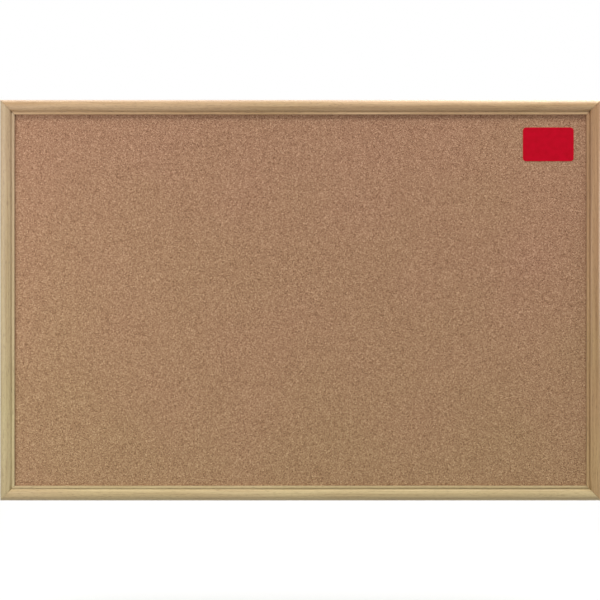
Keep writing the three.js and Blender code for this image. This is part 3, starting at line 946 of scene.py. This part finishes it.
def strap_line(bar_height, length, half):
    """The strap's middle line, as (down from the bar, behind the frame): its front layer, a fold about
    the bar, a slope, a bend and its rear layer. In the round end the steps shorten like a cosine."""
    front = glue_line + strap_thickness / 2
    rear = front + strap_thickness + layer_gap
    slope_start = np.array([fold_radius * math.sin(slope), bar_height + fold_radius * math.cos(slope)])
    slope_end = rear + slope_radius * (1 - math.cos(slope))
    slope_turn = -90 - math.degrees(slope)
    run = (slope_start[1] - slope_end) / math.tan(slope)
    flat_start = slope_start[0] + run + slope_radius * math.sin(slope)
    tip = length - half + half * np.sin(np.radians(np.linspace(last_turn, 0, 15)))
    straight = np.linspace(length - half, 0, 12)[1:-1]
    rear_straight = np.linspace(flat_start, length - half, 10)[1:-1]
    return np.concatenate(
        [
            np.stack([tip, 0 * tip + front], 1),
            np.stack([straight, 0 * straight + front], 1),
            bend((0, bar_height), fold_radius, -90, slope_turn - 180, 40),
            bend((flat_start, rear + slope_radius), slope_radius, slope_turn, -90, 8),
            np.stack([rear_straight, 0 * rear_straight + rear], 1),
            np.stack([tip[::-1], 0 * tip + rear], 1),
        ]
    )


joints = {joint["name"]: joint["pos_m"] for joint in frame["joints"]}
for side in ("left", "right"):
    bar = np.array(joints[f"{side}_ring_swing"])
    low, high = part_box(f"{side}_hanger_strap")
    half = (high.x - low.x) / 2
    length = bar[2] - low.z
    line = strap_line(bar[1] + wall_gap, length, half)
    ahead = np.gradient(line, axis=0)
    ahead /= np.linalg.norm(ahead, axis=1, keepdims=True)
    normal = np.stack([-ahead[:, 1], ahead[:, 0]], 1)
    round_end = np.clip((line[:, 0] - (length - half)) / half, 0, 1)
    width_share = np.sqrt(1 - round_end**2)
    edge = rounded(
        [
            (half, strap_thickness / 2),
            (-half, strap_thickness / 2),
            (-half, -strap_thickness / 2),
            (half, -strap_thickness / 2),
        ],
        strap_edge,
        4,
    )
    # Each row is the strip's section: its width is drawn in with the round end, its thickness isn't.
    down_and_behind = line[:, None] + normal[:, None] * edge[None, :, 1:]
    rows = np.stack(
        [
            bar[0] + width_share[:, None] * edge[None, :, 0],
            -wall_gap + down_and_behind[..., 1],
            bar[2] - down_and_behind[..., 0],
        ],
        -1,
    )
    strap = piece(f"{side}_hanger_strip", rows)
    holes = []
    for place in ("upper", "lower"):
        screw_low, screw_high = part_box(f"{side}_hanger_screw_{place}")
        hole = circle((bar[0], (screw_low.z + screw_high.z) / 2), pilot_radius)
        through = (-wall_gap - overrun, -wall_gap + 2 * strap_thickness + overrun)
        holes.append(np.stack([np.insert(hole, 1, y, axis=1) for y in through]))
    cut(strap, [piece(f"hole_{i}", rows) for i, rows in enumerate(holes)])
    strap.data.materials.append(zinc)
    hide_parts(f"{side}_hanger_strap")
    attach(strap, "framed_board")


# Hanging rings. Steel wire is bent to a D, with its straight bar in the strap's fold, and plated.
# At rest the rings hang down over the straps.

wire_radius = 1.1 * mm
corner_radius = 1.8 * mm
wire_sides = 20
for side in ("left", "right"):
    bar = np.array(joints[f"{side}_ring_swing"])
    low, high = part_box(f"{side}_hanging_ring")
    half = (high.x - low.x) / 2 - wire_radius
    # The ring leans towards the wall: its bow's lowest and deepest points give its reach and its lean.
    down, out = bar[2] - low.z - wire_radius, high.y - wire_radius - bar[1]
    reach, lean = math.hypot(down, out), math.atan2(out, down)
    # The wire's middle line: three arcs, as centre, radius, first and last angle and steps.
    arcs = [
        ((half - corner_radius, corner_radius), corner_radius, -90, 0, 10),
        ((0, reach - half), half, 0, 180, 48),
        ((corner_radius - half, corner_radius), corner_radius, 180, 270, 10),
    ]
    line = np.concatenate([bend(*arc) for arc in arcs])
    away = np.concatenate([bend((0, 0), 1, *angles) for _, _, *angles in arcs])
    around = np.radians(np.linspace(0, 360, wire_sides, endpoint=False))
    flat = line[:, None] + wire_radius * np.cos(around)[None, :, None] * away[:, None]
    proud = wire_radius * np.sin(around)[None, :] + 0 * flat[..., 0]
    rows = np.stack(
        [
            bar[0] + flat[..., 0],
            bar[1] + flat[..., 1] * math.sin(lean) + proud * math.cos(lean),
            bar[2] - flat[..., 1] * math.cos(lean) + proud * math.sin(lean),
        ],
        -1,
    )
    ring = piece(f"{side}_ring_wire", rows, looped=True)
    ring.data.materials.append(zinc)
    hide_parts(f"{side}_hanging_ring")
    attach(ring, f"{side}_ring")


# Hanger screws. Pan-head wood screws of plated steel, with a rolled thread that runs out below the
# head, a sharp tip and a cross recess. Two hold each strap to its stile.

shank = 1.45 * mm
thread_root = 1.05 * mm
thread_pitch = 1.2 * mm
tip_length = 3.5 * mm
tip_power = 0.8  # under one, so the tip's sides bulge a little
plain_length = 3 * mm  # under the head, without thread
fade_length = 1 * mm  # in which the thread runs out
head_radius = 3 * mm
head_height = 2.2 * mm
head_edge = 0.7 * mm  # the height of the head's upright side
head_arris = 0.12 * mm
screw_length = 12 * mm
tip_flat = 0.02 * mm
ridge_share = 0.3  # of the pitch, from the ridge's foot to its crest
screw_sides = 24
thread_rings = 150
dome_end = 88  # degrees, short of the axis, where a small flat face closes the head


def screw_rows(seat, centre_x, centre_z):
    """Rings round the screw's axis, from its tip to its head. On the thread the radius is the root's plus
    a ridge: the ridge is sharp where run over pitch, less the turn's share of a circle, is whole."""
    around = np.linspace(0, 1, screw_sides, endpoint=False)[None, :]
    run = np.linspace(tip_flat, screw_length - plain_length, thread_rings)[:, None]
    phase = np.abs((run / thread_pitch - around + 0.5) % 1 - 0.5)
    ridge = np.clip(1 - phase / ridge_share, 0, 1)
    taper = np.clip(run / tip_length, 0, 1) ** tip_power
    fade = np.clip((screw_length - plain_length - run) / fade_length, 0, 1)
    threaded = taper * (thread_root + (shank - thread_root) * np.maximum(ridge, 1 - fade))
    dome = bend((0, head_edge), (head_radius, head_height - head_edge), 0, dome_end, 12)
    # Over the thread, as (radius, height): the plain shank, a fillet, the head's underside and its side.
    neck = [
        (shank, -plain_length),
        (shank, -2 * head_arris),
        (shank + head_arris, 0),
        (head_radius - head_arris, 0),
        (head_radius, head_arris),
    ]
    plain = np.concatenate([neck, dome]) + (0, screw_length)
    radius = np.concatenate([threaded, plain[:, :1] + 0 * around])
    height = np.concatenate([run + 0 * around, plain[:, 1:] + 0 * around])
    angle = math.tau * around
    x = centre_x + radius * np.cos(angle)
    z = centre_z + radius * np.sin(angle)
    return np.stack([x, seat - screw_length + height, z], -1)


recess_half_width = 0.4 * mm
recess_arm_share = 4  # an arm's length over half its width
recess_depth = 1.1 * mm
recess_floor_share = 0.55  # its width at the floor over its width at the top
quarter_turn = np.array([(0, 1), (-1, 0)])
# One arm's inner corner and its end, and the other three arms from them.
arm = np.array([(1, 1), (1, recess_arm_share), (-1, recess_arm_share)]) * recess_half_width
cross = np.concatenate([arm @ np.linalg.matrix_power(quarter_turn, turns) for turns in range(4)])
for side in ("left", "right"):
    for place in ("upper", "lower"):
        node = f"{side}_hanger_screw_{place}"
        low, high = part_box(node)
        centre_x, centre_z, seat = (low.x + high.x) / 2, (low.z + high.z) / 2, low.y + screw_length
        screw = piece(f"{node}_steel", screw_rows(seat, centre_x, centre_z), sharp_angle=50)
        top = seat + head_height
        levels = ((recess_floor_share, top - recess_depth), (1, top), (1, top + overrun))
        recess = np.stack(
            [np.insert(cross * share + (centre_x, centre_z), 1, y, axis=1) for share, y in levels]
        )
        cut(screw, [piece("recess", recess)], sharp_angle=50)
        screw.data.materials.append(zinc)
        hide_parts(node)
        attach(screw, "framed_board")


# Bumpers. Moulded buttons of black rubber, glued behind the ends of the top and bottom rails. They
# keep the frame off the wall and stop it sliding.


def moulded_rubber():
    """Black rubber, moulded: nearly matt, with a fine spark-eroded grain and a little grey dust."""
    material, tree = fresh_material("moulded_rubber")
    place = add_node(tree, "ShaderNodeTexCoord").outputs["Object"]
    grain = add_node(
        tree,
        "ShaderNodeTexNoise",
        {"Vector": place, "Scale": 1 / (0.25 * mm), "Detail": 3, "Roughness": 0.6},
    )
    dust = add_node(
        tree, "ShaderNodeTexNoise", {"Vector": place, "Scale": 1 / (3 * mm), "Detail": 3, "Roughness": 0.6}
    )
    tone = add_node(
        tree,
        "ShaderNodeValToRGB",
        {"Fac": dust},
        stops=[(0.4, linear("#232323")), (0.75, linear("#3A3936"))],
    )
    relief = add_node(tree, "ShaderNodeBump", {"Height": grain, "Strength": 0.2, "Distance": 0.05 * mm})
    shader = add_node(
        tree,
        "ShaderNodeBsdfPrincipled",
        {"Base Color": tone, "Roughness": 0.68, "IOR": 1.5, "Normal": relief},
    )
    add_node(tree, "ShaderNodeOutputMaterial", {"Surface": shader})
    return material


rubber = moulded_rubber()
pole_radius = 0.2 * mm  # of the small flat faces that close it on its axis
flat_radius = 3 * mm  # of its flat end
dome_start = 2.2 * mm  # how high its side is straight
foot_round = 0.25 * mm
button_sides = 48
for node in [name for name in frame["nodes"] if name.startswith("bumper_")]:
    low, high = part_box(node)
    radius, height = (high.x - low.x) / 2, high.y - low.y
    # Its profile, as (out from the axis, away from the frame): a rounded foot, a straight side, a dome
    # and a flat end.
    foot = bend((radius - foot_round, foot_round), foot_round, -90, 0, 4)
    dome = bend((flat_radius, dome_start), (radius - flat_radius, height - dome_start), 0, 90, 16)
    profile = np.concatenate([[(pole_radius, 0)], foot, dome, [(pole_radius, height)]])
    angle = np.radians(np.linspace(0, 360, button_sides, endpoint=False))
    rows = np.stack(
        [
            (low.x + high.x) / 2 + profile[:, :1] * np.cos(angle),
            low.y + profile[:, 1:] + 0 * angle,
            (low.z + high.z) / 2 + profile[:, :1] * np.sin(angle),
        ],
        -1,
    )
    button = piece(f"{node}_button", rows)
    button.data.materials.append(rubber)
    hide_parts(node)
    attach(button, "framed_board")
